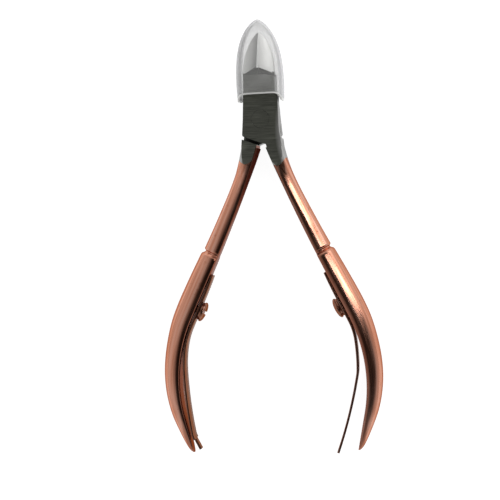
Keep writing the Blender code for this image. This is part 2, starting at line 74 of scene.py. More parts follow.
# Seats of the other half's lap: the shoulder that carries the handle, the line that the lap
# stops at there, and the round seat at the jaw's root
SHOULDER_TOP = ((4.55, -4.2), (1.05, -5.8))
SHOULDER_LINE = ((0.4, -6.63), (7.0, -4.01))
JAW_SEAT_RADIUS = 11.45

# Grinding: the back and the front slope in to the neck between two distances along the head,
# to the neck's heights
BACK_SLOPE_START = 2.6
BACK_SLOPE_END = 5.8
NECK_BACK = 1.5
NECK_SLOPE_START = 6.6
NECK_SLOPE_END = 11.0
NECK_FRONT = 6.1
GRIND_END = -15.0
GRIND_ALLOWANCE = 1.5        # how far the forging stands proud before it is ground
EDGE_BREAK = 0.13            # width of the broken edges round the ground faces

# Where a painted highlight stands for the ground faces rolling over towards a half's outer side: from
# this far across, along a line that bows inwards about its middle, fading in over a width
ROLL_HIGHLIGHT_START = 3.45
ROLL_HIGHLIGHT_MIDDLE = -3.5
ROLL_HIGHLIGHT_CURVE = 0.02
ROLL_HIGHLIGHT_WIDTH = 1.1

# Where the plating of each handle starts, as (across, along)
LEFT_RUN_OUT = ((0.5, -6.3), (1.3, -6.5), (1.95, -8.4), (2.45, -9.9), (2.85, -10.5),
                (3.6, -10.9), (4.5, -11.1), (5.4, -10.5), (6.0, -9.8), (9.0, -9.2))
RIGHT_RUN_OUT = ((1.0, -10.8), (2.7, -11.4), (3.6, -11.8), (4.4, -11.6), (5.2, -10.7),
                 (5.9, -9.8), (9.0, -9.0))
RUN_OUT_START = -9.0         # where that line goes on, past the handle's inner side

# Rivet
RIVET_RADIUS = 1.6
RIVET_HEAD_RADIUS = 2.2
RIVET_HEAD_HEIGHT = 0.8
RIVET_LAND = 0.15
RIVET_CLEARANCE = 0.04

# Jaws, between their heel and their tip
JAW_ROOT = 9.5
JAW_HEEL = 12.8
JAW_TIP = 21.25
JAW_SWEEP = 0.42             # how far the heel falls back for each unit across
JAW_SKEW = 0.07              # how far the closed jaws lean sideways for each unit along
JAW_STRAIGHT = 0.3           # share of their length where that lean crosses the middle
JAW_MIDDLE = JAW_HEEL + JAW_STRAIGHT * (JAW_TIP - JAW_HEEL)
JAW_ROOT_LAP = 0.3           # how far the root's side runs on under the jaw
JAW_ROOT_SIDE = JAW_HEEL - JAW_SWEEP * NECK_HALF_WIDTH + JAW_ROOT_LAP
JAW_ROOT_HALF_GAP = 0.1
JAW_INSET = 0.16             # how far a jaw's side stands in from the neck's
JAW_TIP_HALF_WIDTH = 0.12
JAW_TAPER = (2.1, 0.8)       # powers of a jaw's taper: how late it starts, how blunt it ends
JAW_BACK_ALLOWANCE = 0.2     # how far its back stands proud of the neck's before grinding
JAW_BACK_CURVE = 2.2         # power of the rise of its back
EDGE_HEIGHT = 8.0
EDGE_DROP = 1.3
EDGE_CURVE = 1.6             # power of that drop towards the tip
EDGE_HALF_GAP = 0.06
EDGE_LAND = (0.05, 0.03)     # width and drop of the narrow land beside the cutting edge
EDGE_TIP_DEPTH = 0.7         # from the edge to the back, at the tip
BEVEL_SLOPE = 0.55
BEVEL_TIP_DROP = 0.02
JAW_HEEL_FADE = 0.3          # length over which the jaws' painted light and shade starts, before the heel
SIDE_HEIGHT = 0.25           # least height of a jaw's outer side
HOLLOW_WIDTH = 1.0           # of the hollow behind the edge
HOLLOW_SHARE = 0.28          # the most that it takes of a jaw's width

# Handles
HANDLE_START = (1.35, -8.0)
HANDLE_CORNER = (4.85, -4.88)
HANDLE_SHOULDER = (5.05, -6.9)
HANDLE_CROOK = (1.22, -6.6)
HANDLE_HEADING = 21.0
HANDLE_RUNS = ((30.0, 4.5), (15.5, 0.0), (25.2, -37.2), (10.2, 0.0))
NOTCH = 28.1
NOTCH_DEPTH = 0.5
NOTCH_SHOULDER = 0.28        # how far the grip's top edge is rounded back
NOTCH_SHOULDER_LENGTH = 0.8

# Sizes of a handle down its length, as (distance, width, depth)
SHANK = ((-0.9, 4.1, 8.4), (4.0, 3.6, 7.0), (10.0, 3.5, 5.5), (19.0, 3.85, 4.8), (27.5, 4.2, 5.0))
GRIP = ((28.7, 4.5, 6.3), (36.0, 4.85, 6.75), (44.0, 5.0, 6.95), (53.0, 4.5, 6.9), (62.0, 4.1, 6.5),
        (70.0, 3.3, 5.6), (75.5, 2.25, 4.3), (79.0, 1.3, 2.9), (80.5, 0.5, 1.5))
SHANK_END, GRIP_START, HANDLE_END = SHANK[-1][0], GRIP[0][0], GRIP[-1][0]

# The section of a handle: how square it is, and the share of its width before its deepest
# point, down the handle and at the head
SQUARE_END = 7.0             # distance over which a shank goes from the one to the other
HANDLE_POWER, HEAD_POWER = 2.2, 7.2
HANDLE_CREST, HEAD_CREST = 0.16, 0.1
FLAT_SHARE = 0.97            # depth at the inner face, as a share of the deepest
INNER_CORNER = 0.4           # radius of the corners there, as a share of the crest's width
HANDLE_TIP_LENGTH = 0.25     # length of the rounding at the end

# Springs and screws
SCREW_PLACE = 42.8
SPRING_TOP = 32.8
SPRING_WIDTH = 4.4
SPRING_THICKNESS = 0.6
SPRING_EDGE = 0.08
SPRING_HOLE_RADIUS = 1.35
LEFT_SPRING_RUNS = ((7.5, 3.5), (7.4, 0.0), (5.0, -14.5), (6.5, -12.0), (16.2, -8.5), (0.8, -17.0),
                    (3.4, 0.0))
RIGHT_SPRING_RUNS = ((7.5, 3.5), (6.4, 0.0), (5.0, -19.0), (7.5, -8.5), (1.5, -9.0), (20.2, -9.5))
TONGUE_LENGTH = 3.0
TONGUE_WIDTH = 1.8
SLOT_WIDTH = 2.4
SLOT_FROM_END = (3.0, 8.0)
SCREW_HEAD_RADIUS = 2.55
SCREW_HEAD_HEIGHT = 1.6
SCREW_HEAD_GAP = 0.15        # between the leaf and the head
SCREW_DOME_HEIGHT = 0.85

# The screw's rim, its waist and its collar, as (inwards from its radius, above its underside)
SCREW_COLLAR = ((0.0, 0.55), (0.05, 0.5), (0.22, 0.46), (0.25, 0.08), (0.32, 0.0))
SCREW_SHANK_RADIUS = 1.0
SCREW_DEPTH = 2.8
SCREW_SLOT_WIDTH = 0.8
SCREW_SLOT_DEPTH = 0.7
SCREW_SLOT_TURNS = {"left": 78.0, "right": 30.0}

# Cover
COVER_TIP = 24.6
COVER_HALF_WIDTH = 5.75
COVER_OFFSET = 0.12
COVER_DEPTH = 9.0
COVER_BASE = 0.05
COVER_WALL = 0.5
COVER_RIM = 0.12             # rounding of the wall's edges at the mouth
COVER_SQUARENESS = 4.5
COVER_WIDTH_TAPER = (3.4, 0.72)
COVER_DEPTH_TAPER = (3.0, 0.8)
COVER_TIP_SIZE = (0.05, 0.2)  # half width and depth left at the tip
COVER_TIP_RISE = (1.3, 2.5)   # how far the tip's middle rises, and how late
COVER_MOUTH = 6.0
COVER_MOUTH_WIDTH = 0.97     # width at the mouth, as a share of the full width
COVER_MOUTH_DROP = 1.6       # how far the mouth's sides hang below its middle
COVER_MOUTH_SHARE = 0.3      # share of the length over which that fades out
COVER_LIP = 0.45             # the whiter lip round the mouth

# Camera: where it looks, how it leans away from straight above, and what it takes in
VIEW_CENTRE = (-4.45, -2.83)
VIEW_LEAN = 8.1
VIEW_PITCH = -2.57
VIEW_ROLL = -2.48
VIEW_DISTANCE = 290.0
VIEW_WIDTH = 126.1
SENSOR_WIDTH = 36.0

# Light tent: the lean of its opening, where its wall glows, and its brightness by the cosine
# of the angle from each
OPENING_LEAN = 19.0
OPENING_LEVELS = ((-1.0, 0.85), (0.0, 0.85), (0.5, 0.75), (0.72, 0.55), (0.84, 0.2), (0.91, 0.04),
                  (1.0, 0.02))
GLOW_DIRECTION = (0.64, 0.54, 0.54)
GLOW_LEVELS = ((-1.0, 0.95), (0.5, 0.95), (0.86, 1.0), (0.94, 2.0), (1.0, 3.8))

# Soft box
BOX_DIRECTION = (0.545, 0.215, 0.81)
BOX_DISTANCE = 500.0
BOX_WIDTH = 60.0
BOX_HEIGHT = 310.0
BOX_RADIANCE = 6.0


# Shaping

def place(across, along, height):
    """A point measured from the rivet axis and the rest plane, in the frame's metres."""
    return Vector((across, PIVOT_Y + along, height)) * MM


def add_object(name, data):
    piece = bpy.data.objects.new(name, data)
    bpy.context.scene.collection.objects.link(piece)
    return piece


def close_work(name, work):
    bmesh.ops.recalc_face_normals(work, faces=work.faces)
    mesh = bpy.data.meshes.new(name)
    work.to_mesh(mesh)
    work.free()
    return mesh


def slab(name, outline, low, high, edge=0.0):
    """A flat outline of (across, along) points between two heights, with rounded edges."""
    curve = bpy.data.curves.new(name, "CURVE")
    curve.dimensions = "2D"
    curve.fill_mode = "BOTH"
    curve.extrude = ((high - low) / 2 - edge) * MM
    curve.bevel_depth = edge * MM
    curve.bevel_resolution = 1
    curve.offset = -edge * MM
    spline = curve.splines.new("POLY")
    spline.points.add(len(outline) - 1)
    spline.use_cyclic_u = True
    for point, (across, along) in zip(spline.points, outline):
        point.co = (across * MM, (PIVOT_Y + along) * MM, 0.0, 1.0)
    guide = add_object(name, curve)
    guide.location.z = (low + high) / 2 * MM
    bpy.context.view_layer.update()
    evaluated = guide.evaluated_get(bpy.context.evaluated_depsgraph_get())
    mesh = bpy.data.meshes.new_from_object(evaluated)
    mesh.transform(guide.matrix_world)
    bpy.data.objects.remove(guide, do_unlink=True)
    work = bmesh.new()
    work.from_mesh(mesh)
    bmesh.ops.remove_doubles(work, verts=work.verts, dist=0.000001)
    return close_work(name, work)


def loft(name, rings):
    """A closed skin over rings of equal count; the end rings are capped."""
    work = bmesh.new()
    rows = [[work.verts.new(point) for point in ring] for ring in rings]
    count = len(rows[0])
    for near, far in zip(rows, rows[1:]):
        for i in range(count):
            j = (i + 1) % count
            work.faces.new((near[i], near[j], far[j], far[i]))
    work.faces.new(list(reversed(rows[0])))
    work.faces.new(rows[-1])
    return close_work(name, work)


def turned(name, profile):
    """A turned mesh about its own Z axis, from (radius, height) points that start and end on
    the axis."""
    steps = 72
    work = bmesh.new()
    rows = []
    for radius, height in profile[1:-1]:
        angles = [2 * math.pi * k / steps for k in range(steps)]
        rows.append([work.verts.new(Vector((radius * math.cos(a), radius * math.sin(a), height)) * MM)
                     for a in angles])
    for near, far in zip(rows, rows[1:]):
        for i in range(steps):
            j = (i + 1) % steps
            work.faces.new((near[i], near[j], far[j], far[i]))
    for row, (_, height) in ((rows[0], profile[0]), (rows[-1], profile[-1])):
        pole = work.verts.new(Vector((0.0, 0.0, height)) * MM)
        for i in range(steps):
            work.faces.new((row[i], row[(i + 1) % steps], pole))
    return close_work(name, work)


def combined(piece, steps):
    """The mesh of a piece after exact Boolean steps, each an operation and a mesh or object."""
    tools = []
    for operation, tool in steps:
        if isinstance(tool, bpy.types.Mesh):
            tool = add_object("tool", tool)
        tools.append(tool)
        modifier = piece.modifiers.new(operation.lower(), "BOOLEAN")
        modifier.operation = operation
        modifier.solver = "EXACT"
        modifier.object = tool
    bpy.context.view_layer.update()
    evaluated = piece.evaluated_get(bpy.context.evaluated_depsgraph_get())
    mesh = bpy.data.meshes.new_from_object(evaluated)
    piece.modifiers.clear()
    for tool in tools:
        bpy.data.objects.remove(tool, do_unlink=True)
    return mesh


def shade(piece, angle=35.0):
    piece.data.shade_smooth()
    piece.data.set_sharp_from_angle(angle=math.radians(angle))


def arc(radius, start, end, steps):
    angles = [math.radians(start + (end - start) * i / steps) for i in range(steps + 1)]
    return [(radius * math.cos(a), radius * math.sin(a)) for a in angles]


def angle_at_width(radius, half_width):
    return math.degrees(math.acos(half_width / radius))


def mirrored(outline, side):
    return [(side * across, along) for across, along in outline]


def signed_power(value, power):
    return math.copysign(abs(value) ** power, value)


# Handles

def walk(start, heading, runs, distance):
    """Point and heading after a distance along a chain of (length, turn) arcs; heading 0 is
    straight down. The path is straight before its start and keeps its last bend past its end."""
    across, along = start
    angle = math.radians(heading)
    left = distance
    for index, (length, turn) in enumerate(runs):
        last = index == len(runs) - 1
        step = left if last else min(left, length)
        bend = math.radians(turn) / length
        if abs(bend) < 1e-9 or left < 0:
            across += step * math.sin(angle)
            along -= step * math.cos(angle)
        else:
            new_angle = angle + bend * step
            across += (math.cos(angle) - math.cos(new_angle)) / bend
            along -= (math.sin(new_angle) - math.sin(angle)) / bend
            angle = new_angle
        left -= step
        if abs(left) < 1e-9:
            break
    return (across, along), math.degrees(angle)


def handle_frame(distance):
    """Point on the inner face, the way out of the handle there and the heading down it."""
    point, heading = walk(HANDLE_START, HANDLE_HEADING, HANDLE_RUNS, distance)
    angle = math.radians(heading)
    return point, (math.cos(angle), math.sin(angle)), heading


def smooth_rows(rows, where):
    """Reads a table of (place, value, ...) rows with a smooth curve through its values."""
    places = [row[0] for row in rows]
    i = max(k for k in range(len(rows) - 1) if places[k] <= where + 1e-9)
    span = places[i + 1] - places[i]
    t = (where - places[i]) / span
    values = []
    for column in range(1, len(rows[0])):
        slopes = []
        for k in (i, i + 1):
            low, high = max(k - 1, 0), min(k + 1, len(rows) - 1)
            slopes.append((rows[high][column] - rows[low][column]) / (places[high] - places[low]))
        a, b = rows[i][column], rows[i + 1][column]
        values.append((2 * t ** 3 - 3 * t ** 2 + 1) * a + (t ** 3 - 2 * t ** 2 + t) * span * slopes[0]
                      + (3 * t ** 2 - 2 * t ** 3) * b + (t ** 3 - t ** 2) * span * slopes[1])
    return values


def handle_ring(side, distance, width, depth):
    """One D-shaped section: a flat inner face with rounded corners, a front and back that are
    nearly flat beside it, and a round outer side."""
    point, outward = handle_frame(distance)[:2]
    near_head = max(0.0, min(1.0, (SQUARE_END - distance) / SQUARE_END))
    power = 2 / (HANDLE_POWER + (HEAD_POWER - HANDLE_POWER) * near_head)
    crest = width * (HANDLE_CREST + (HEAD_CREST - HANDLE_CREST) * near_head)
    flat = depth / 2 * FLAT_SHARE
    corner = INNER_CORNER * crest
    section = [(0.0, -flat + corner)]
    for i in range(1, 4):
        turn = math.radians(30 * i)
        section.append((corner * (1 - math.cos(turn)), -flat + corner * (1 - math.sin(turn))))
    for i in range(41):
        turn = math.radians(-90 + 4.5 * i)
        reach = crest + (width - crest) * abs(math.cos(turn)) ** power
        section.append((reach, depth / 2 * signed_power(math.sin(turn), power)))
    section += [(reach, -lift) for reach, lift in reversed(section[:4])]
    section += [(0.0, flat * (0.5 - 0.25 * i)) for i in range(5)]
    ring = []
    for reach, lift in section:
        across = point[0] + outward[0] * reach
        along = point[1] + outward[1] * reach
        ring.append(place(side * across, along, MIDDLE + lift))
    return ring


def handle_size(distance):
    """Width and depth of a handle; at the notch a groove with a steep upper wall and a round
    lower shoulder parts the shank from the grip."""
    if distance <= SHANK_END:
        return smooth_rows(SHANK, distance)
    if distance >= GRIP_START:
        width, depth = smooth_rows(GRIP, distance)
        rise = min(1.0, (distance - GRIP_START) / NOTCH_SHOULDER_LENGTH)
        drop = NOTCH_SHOULDER * (1 - math.sqrt(1 - (1 - rise) ** 2))
        return width - drop, depth - 2 * drop
    if distance <= NOTCH:
        t = (distance - SHANK_END) / (NOTCH - SHANK_END)
        width, depth = SHANK[-1][1:]
        drop = NOTCH_DEPTH * min(1.0, t * 1.4) ** 1.3
        return width - drop, depth - drop
    rise = ((distance - NOTCH) / (GRIP_START - NOTCH)) ** 1.2
    width, depth = (size - NOTCH_DEPTH for size in SHANK[-1][1:])
    end_width, end_depth = GRIP[0][1] - NOTCH_SHOULDER, GRIP[0][2] - 2 * NOTCH_SHOULDER
    return width + (end_width - width) * rise, depth + (end_depth - depth) * rise


def handle_stations():
    """Distances of a handle's sections, which stand closest at the notch."""
    stations = [SHANK[0][0] + 0.7 * i for i in range(41)]
    stations += [SHANK_END + 0.1 * i for i in range(12)]
    stations += [GRIP_START + 0.1 * i for i in range(1, 9)]
    stations += [GRIP_START + NOTCH_SHOULDER_LENGTH + 0.6 * i for i in range(1, 79)]
    stations += [77.0 + 0.5 * i for i in range(7)]
    return sorted({round(s, 3) for s in stations if s < HANDLE_END})


def handle_mesh(side):
    rings = [handle_ring(side, distance, *handle_size(distance)) for distance in handle_stations()]
    width, depth = smooth_rows(GRIP, HANDLE_END)
    for i in range(1, 5):
        turn = math.radians(20 * i)
        distance = HANDLE_END + HANDLE_TIP_LENGTH * (math.sin(turn) - 1)
        rings.append(handle_ring(side, distance, width * math.cos(turn), depth * math.cos(turn)))
    return loft("handle_form", rings)


# Head and jaws

def lap_outline():
    outline = [(-NECK_HALF_WIDTH, JAW_ROOT_SIDE), *LAP_JAW_SIDE, *LAP_FOOT, HANDLE_CROOK]
    outline += [HANDLE_START, HANDLE_SHOULDER, HANDLE_CORNER, *LAP_HANDLE_SIDE]
    turn_start, turn_length = SIDE_TURN
    step_in = HEAD_HALF_WIDTH - NECK_HALF_WIDTH
    for i in range(1, 7):
        turn = math.radians(15 * i)
        outline.append((NECK_HALF_WIDTH + step_in * math.cos(turn),
                        turn_start + turn_length * math.sin(turn)))
    outline += arc(LAP_TOP_RADIUS, angle_at_width(LAP_TOP_RADIUS, NECK_HALF_WIDTH), LAP_TOP_END, 24)
    outline.append((-JAW_ROOT_HALF_GAP, JAW_HEEL))
    return outline


def shoulder_outline():
    """What carries the handle beside the lap, through the half's whole thickness."""
    return [HANDLE_CORNER, *SHOULDER_TOP, HANDLE_CROOK, HANDLE_START, HANDLE_SHOULDER]


def shoulder_clear_outline():
    """The room that the other half's lap takes, down to its foot."""
    (near, near_along), (far, far_along) = SHOULDER_LINE
    return [(-far, near_along), (near, near_along), (far, far_along), (far, 0.0), (-far, 0.0)]


def jaw_root_outline():
    inner, outer = -JAW_ROOT_HALF_GAP, -NECK_HALF_WIDTH
    return [(inner, JAW_ROOT), (outer, JAW_ROOT), (outer, JAW_ROOT_SIDE), (inner, JAW_HEEL)]


def jaw_mesh(side):
    """A jaw from its slanted heel face to its point: a straight front bevel that falls away
    from the cutting edge, an outer side with rounded corners, and a hollow behind the edge."""
    rings = []
    steps = 30
    length = JAW_TIP - JAW_HEEL
    for i in range(steps + 1):
        t = i / steps
        taper = (1 - t ** JAW_TAPER[0]) ** JAW_TAPER[1]
        width = (NECK_HALF_WIDTH - JAW_INSET) * taper + JAW_TIP_HALF_WIDTH
        skew = JAW_SKEW * length * (t - JAW_STRAIGHT)
        edge = EDGE_HEIGHT - EDGE_DROP * t ** EDGE_CURVE
        rise = (edge - EDGE_TIP_DEPTH - NECK_BACK) * t ** JAW_BACK_CURVE
        back = NECK_BACK - JAW_BACK_ALLOWANCE + rise
        centre_along = JAW_HEEL + length * t
        sweep = JAW_SWEEP * (1 - t)
        shoulder = edge - (BEVEL_SLOPE * width if i < steps else BEVEL_TIP_DROP)
        shoulder = max(shoulder, back + SIDE_HEIGHT)
        side_height = shoulder - back
        hollow = min(HOLLOW_WIDTH, HOLLOW_SHARE * width)
        section = [(EDGE_HALF_GAP, edge), (EDGE_HALF_GAP + EDGE_LAND[0], edge - EDGE_LAND[1])]
        section += [(width * 0.5, (edge + shoulder) / 2), (width * 0.93, shoulder + 0.045 * width)]
        section += [(width * 0.98, shoulder + 0.012 * width), (width, shoulder - 0.2 * (1 - t))]
        section += [(width, back + 0.35 * side_height), (width * 0.93, back + 0.1 * side_height)]
        section += [(width * 0.78, back), (EDGE_HALF_GAP + hollow, back)]
        section.append((EDGE_HALF_GAP + 0.45 * hollow, edge - 0.45 * (edge - back)))
        ring = []
        for across, height in section:
            ring.append(place(-side * across + skew, centre_along - sweep * across, height))
        rings.append(ring)
    return loft("jaw_form", rings)


def side_block(name, profile):
    """A side profile of (along, height) points as a block across the whole head."""
    reach = 3 * HEAD_HALF_WIDTH
    rings = [[place(across, along, height) for along, height in profile] for across in (-reach, reach)]
    return loft(name, rings)


def back_grind():
    """What the grinding of the back takes off."""
    bottom = -2 * GRIND_ALLOWANCE
    profile = [(GRIND_END, bottom), (GRIND_END, 0.0), (BACK_SLOPE_START, 0.0)]
    profile += [(BACK_SLOPE_END, NECK_BACK), (JAW_TIP, NECK_BACK), (JAW_TIP, bottom)]
    return side_block("back_grind", profile)


def front_grind():
    """What the grinding of the front takes off."""
    top = THICKNESS + 2.5 * GRIND_ALLOWANCE
    profile = [(GRIND_END, top), (GRIND_END, THICKNESS), (NECK_SLOPE_START, THICKNESS)]
    profile += [(NECK_SLOPE_END, NECK_FRONT), (JAW_TIP, NECK_FRONT), (JAW_TIP, top)]
    return side_block("front_grind", profile)


def half_mesh(name, side):
    """One whole forging: lap, handle and jaw, ground on its front and back."""
    beyond = GRIND_ALLOWANCE
    overlap = 0.4 * LAP_GAP
    if side > 0:
        lap_low, lap_high = MIDDLE + LAP_GAP / 2, THICKNESS + beyond
        other_low, other_high = -2 * beyond, MIDDLE + overlap
    else:
        lap_low, lap_high = -beyond, MIDDLE - LAP_GAP / 2
        other_low, other_high = MIDDLE - overlap, THICKNESS + 2 * beyond
    whole = add_object(name, slab(name, mirrored(lap_outline(), side), lap_low, lap_high))
    shoulder = slab("shoulder_form", mirrored(shoulder_outline(), side), -beyond, THICKNESS + beyond)
    root = slab("jaw_root_form", mirrored(jaw_root_outline(), side), -beyond, THICKNESS + beyond)
    handle_clear = slab("clear_form", mirrored(shoulder_clear_outline(), side), other_low, other_high)
    jaw_clear = slab("clear_form", arc(JAW_SEAT_RADIUS, 0, 180, 80), other_low, other_high)
    steps = [("UNION", shoulder), ("UNION", handle_mesh(side)), ("UNION", root)]
    steps += [("DIFFERENCE", handle_clear), ("DIFFERENCE", jaw_clear), ("DIFFERENCE", front_grind())]
    steps += [("UNION", jaw_mesh(side)), ("DIFFERENCE", back_grind()), ("DIFFERENCE", rivet_bore())]
    mesh = combined(whole, steps)
    bpy.data.objects.remove(whole, do_unlink=True)
    return mesh


def rivet_bore():
    """The bore that the rivet fills: countersunk at both ends, with a hairline of clearance."""
    radius = RIVET_RADIUS + RIVET_CLEARANCE
    head = RIVET_HEAD_RADIUS + RIVET_CLEARANCE
    top = THICKNESS + GRIND_ALLOWANCE
    bottom = -GRIND_ALLOWANCE
    profile = [(0.0, top), (head, top), (head, THICKNESS - RIVET_LAND)]
    profile += [(radius, THICKNESS - RIVET_HEAD_HEIGHT), (radius, RIVET_HEAD_HEIGHT)]
    profile += [(head, RIVET_LAND), (head, bottom), (0.0, bottom)]
    mesh = turned("rivet_bore", profile)
    mesh.transform(Matrix.Translation(place(0.0, 0.0, 0.0)))
    return mesh


def break_edges(mesh):
    """Bevels the long edges where a ground front or back face meets a side wall."""
    work = bmesh.new()
    work.from_mesh(mesh)
    bmesh.ops.dissolve_limit(work, angle_limit=math.radians(0.05), verts=work.verts,
                             edges=work.edges)
    chosen = []
    for edge in work.edges:
        if len(edge.link_faces) != 2:
            continue
        wall, ground = sorted(abs(face.normal.z) for face in edge.link_faces)
        if wall < 0.5 and ground > 0.9 and edge.is_convex:
            chosen.append(edge)
    bmesh.ops.bevel(work, geom=chosen, offset=EDGE_BREAK * MM, offset_type="OFFSET", segments=2,
                    profile=0.5, affect="EDGES", clamp_overlap=True)
    work.to_mesh(mesh)
    work.free()


def make_half(body, side, run_out, steel, plate):
    """A forging in two pieces: its ground steel head and its plated handle, which meet along
    the plating's run-out line."""
    reach = 40.0
    outline = [*run_out, (reach, run_out[-1][1]), (reach, reach), (-reach, reach)]
    outline.append((-reach, RUN_OUT_START))
    whole = half_mesh(body, side)
    for part, operation, slot, material in (("head", "INTERSECT", "ground_steel", steel),
                                            ("handle", "DIFFERENCE", "rose_gold_plate", plate)):
        piece = add_object(f"{body}_{part}", whole.copy())
        zone = slab("run_out_form", mirrored(outline, side), -reach, reach)
        piece.data = combined(piece, [(operation, zone)])
        if part == "head":
            break_edges(piece.data)
        add_flow(piece.data, side)
        shade(piece, 20 if part == "head" else 35)
        piece.data.materials.clear()
        piece.data.materials.append(material)
        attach(piece, body)
        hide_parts(body)


def on_handle(across, along, stations):
    """How far down a handle and out of its inner face a point lies, read at the station that
    it is most nearly square to, with a small preference for a near one."""
    best = math.inf
    for distance, point, outward in stations:
        offset = (across - point[0], along - point[1])
        past = offset[0] * outward[1] - offset[1] * outward[0]
        misfit = abs(past) + 0.02 * math.hypot(*offset)
        if misfit < best:
            best = misfit
            found = (distance + past, offset[0] * outward[0] + offset[1] * outward[1])
    return found


def add_flow(mesh, side):
    """Stores where each point lies on its handle, in millimetres: down it, out of its inner
    face and above its middle."""
    flow = mesh.attributes.new("flow", "FLOAT_VECTOR", "POINT")
    stations = [(-4 + 0.5 * i, *handle_frame(-4 + 0.5 * i)[:2]) for i in range(171)]
    for vertex in mesh.vertices:
        down, out = on_handle(side * vertex.co.x / MM, vertex.co.y / MM - PIVOT_Y, stations)
        flow.data[vertex.index].vector = (down, out, vertex.co.z / MM - MIDDLE)


# Springs and screws

def spring_line(runs):
    """Centre line of a leaf: points and headings from its short end to its long end."""
    point, outward, heading = handle_frame(SCREW_PLACE)
    lift = SEAT_GAP + SPRING_THICKNESS / 2
    root = (point[0] - outward[0] * lift, point[1] - outward[1] * lift)
    first_length, first_turn = runs[0]
    flat_above = SCREW_PLACE - SPRING_TOP - first_length
    first_bend = math.radians(first_turn) / first_length
    bend_end = (root[0] - flat_above * outward[1], root[1] + flat_above * outward[0])
    start_heading = heading - first_turn
    angle, start_angle = math.radians(heading), math.radians(start_heading)
    start = (bend_end[0] - (math.cos(start_angle) - math.cos(angle)) / first_bend,
             bend_end[1] + (math.sin(angle) - math.sin(start_angle)) / first_bend)
    total = sum(length for length, turn in runs)
    steps = 90
    return [walk(start, start_heading, runs, total * k / steps - 1e-6) for k in range(1, steps + 1)]


def end_cutter(line, side, back, reach, low, high):
    """A box over part of the leaf's long end: back to reach are distances from that end."""
    (across, along), heading = line[-1]
    angle = math.radians(heading)
    down = Vector((math.sin(angle), -math.cos(angle)))
    out = Vector((math.cos(angle), math.sin(angle)))
    end = Vector((across, along))
    wide = 3.0
    corners = [end + down * d + out * o
               for d, o in ((-back, -wide), (-back, wide), (-reach, wide), (-reach, -wide))]
    return slab("end_form", [(side * corner.x, corner.y) for corner in corners], low, high)


def seat_matrix(side):
    """Frame of a screw: on the middle of the handle's inner face, Z out of that face."""
    point, outward = handle_frame(SCREW_PLACE)[:2]
    axis = Vector((-side * outward[0], -outward[1], 0.0))
    turn = axis.to_track_quat("Z", "Y").to_matrix().to_4x4()
    return Matrix.Translation(place(side * point[0], point[1], MIDDLE)) @ turn


def make_spring(hand, side, runs, material):
    line = spring_line(runs)
    inner, outer = [], []
    for (across, along), heading in line:
        angle = math.radians(heading)
        offset = (math.cos(angle) * SPRING_THICKNESS / 2, math.sin(angle) * SPRING_THICKNESS / 2)
        inner.append((side * (across - offset[0]), along - offset[1]))
        outer.append((side * (across + offset[0]), along + offset[1]))
    low, high = MIDDLE - SPRING_WIDTH / 2, MIDDLE + SPRING_WIDTH / 2
    name = f"{hand}_spring"
    spring = add_object(name, slab(name, inner + outer[::-1], low, high, SPRING_EDGE))
    radius, reach = SPRING_HOLE_RADIUS, 4.0
    hole = turned("hole_form", [(0.0, reach), (radius, reach), (radius, -reach), (0.0, -reach)])
    hole.transform(seat_matrix(side))
    steps = [("DIFFERENCE", hole)]
    if hand == "left":
        for bottom, top in ((low - 1, MIDDLE - TONGUE_WIDTH / 2),
                            (MIDDLE + TONGUE_WIDTH / 2, high + 1)):
            steps.append(("DIFFERENCE", end_cutter(line, side, TONGUE_LENGTH, -1.0, bottom, top)))
    else:
        steps.append(("DIFFERENCE", end_cutter(line, side, SLOT_FROM_END[1], SLOT_FROM_END[0],
                                               MIDDLE - SLOT_WIDTH / 2, MIDDLE + SLOT_WIDTH / 2)))
    spring.data = combined(spring, steps)
    shade(spring)
    spring.data.materials.append(material)
    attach(spring, f"{hand}_spring")
    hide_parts(f"{hand}_leaf_spring")


def make_screw(hand, side, body, material):
    """A button-headed screw with a straight slot and a stepped collar under its head."""
    base = SEAT_GAP + SPRING_THICKNESS + SCREW_HEAD_GAP
    top = base + SCREW_HEAD_HEIGHT
    radius = SCREW_HEAD_RADIUS
    profile = [(0.0, top)]
    for i in range(1, 16):
        turn = math.radians(6 * i)
        profile.append((radius * math.sin(turn), top - SCREW_DOME_HEIGHT * (1 - math.cos(turn))))
    profile += [(radius - inwards, base + height) for inwards, height in SCREW_COLLAR]
    profile += [(SCREW_SHANK_RADIUS, base), (SCREW_SHANK_RADIUS, -SCREW_DEPTH), (0.0, -SCREW_DEPTH)]
    name = f"{hand}_screw"
    screw = add_object(name, turned(name, profile))
    reach, half = radius + 1, SCREW_SLOT_WIDTH / 2
    corners = ((-reach, -half), (reach, -half), (reach, half), (-reach, half))
    slot = loft("slot_form", [[Vector((x, y, z)) * MM for x, y in corners]
                              for z in (top - SCREW_SLOT_DEPTH, top + 1)])
    slot.transform(Matrix.Rotation(math.radians(SCREW_SLOT_TURNS[hand]), 4, "Z"))
    screw.data = combined(screw, [("DIFFERENCE", slot)])
    bevel = screw.modifiers.new("edges", "BEVEL")
    bevel.width = 0.05 * MM
    bevel.segments = 2
    bevel.limit_method = "ANGLE"
    bevel.angle_limit = math.radians(40)
    screw.data.transform(seat_matrix(side))
    shade(screw)
    screw.data.materials.append(material)
    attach(screw, body)
    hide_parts(f"{hand}_spring_screw")


# Cover

def cover_ring(half_width, depth, centre, along, drop):
    """One rounded square section; at the mouth its sides hang lower than its middle."""
    ring = []
    count = 96
    for i in range(count):
        turn = 2 * math.pi * i / count
        across = half_width * signed_power(math.cos(turn), 2 / COVER_SQUARENESS)
        height = centre + depth / 2 * signed_power(math.sin(turn), 2 / COVER_SQUARENESS)
        ring.append(place(across + COVER_OFFSET, along - drop * math.cos(turn) ** 4, height))
    return ring


